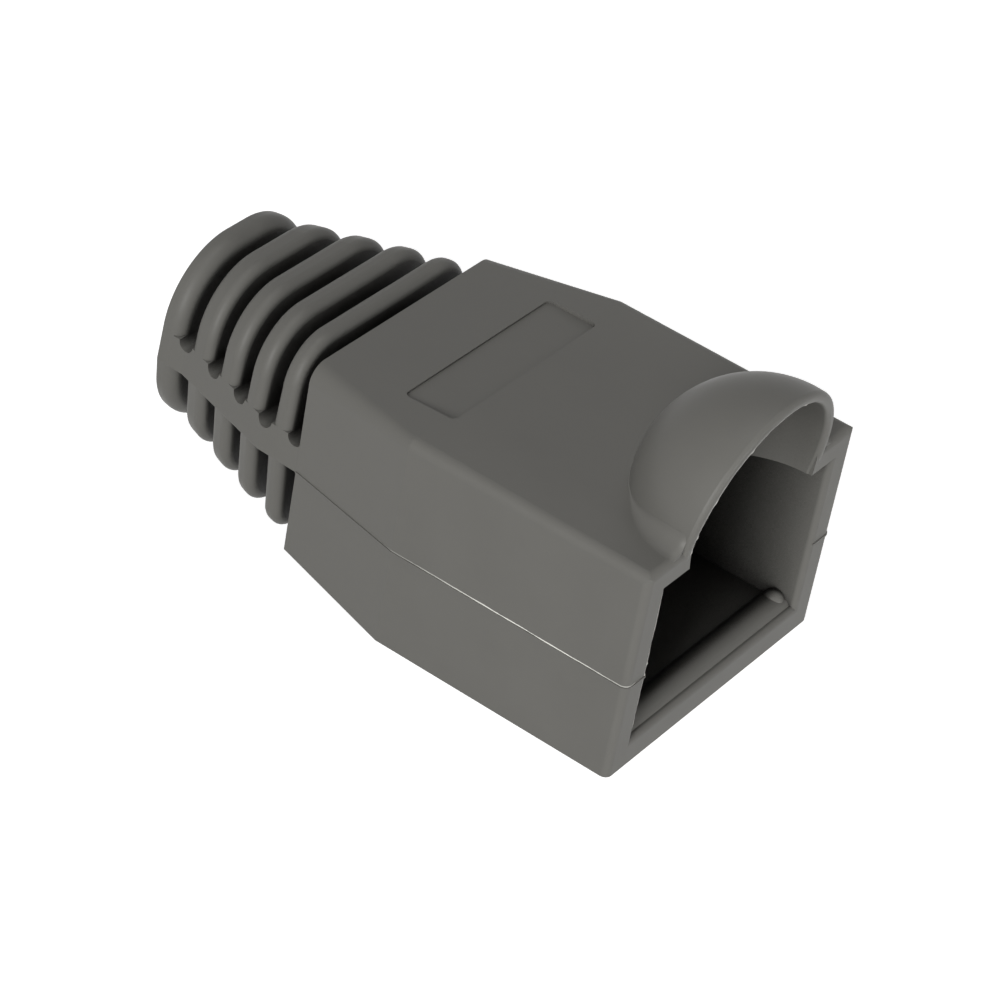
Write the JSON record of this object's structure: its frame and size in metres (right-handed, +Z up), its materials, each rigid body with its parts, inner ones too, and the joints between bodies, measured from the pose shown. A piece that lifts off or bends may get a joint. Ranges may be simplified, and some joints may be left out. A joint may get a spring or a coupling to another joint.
{
  "type": "modular plug strain relief boot",
  "caption": "Soft strain relief boot for a modular network plug: square sleeve with a bubble over the latch, a blank label recess and a slotted cable tail.",
  "frame": {"origin": "middle of the flat part of the underside, halfway from the mouth to the bend", "axes": "+X out of the mouth where the plug goes in, +Z up towards the latch bubble, +Y to the left seen from the tail"},
  "size_m": [0.026, 0.0142, 0.0145],
  "materials": {
    "soft_pvc": "satin dark grey soft vinyl"
  },
  "bodies": {
    "root": {"boot": "soft_pvc"}
  },
  "joints": []
}
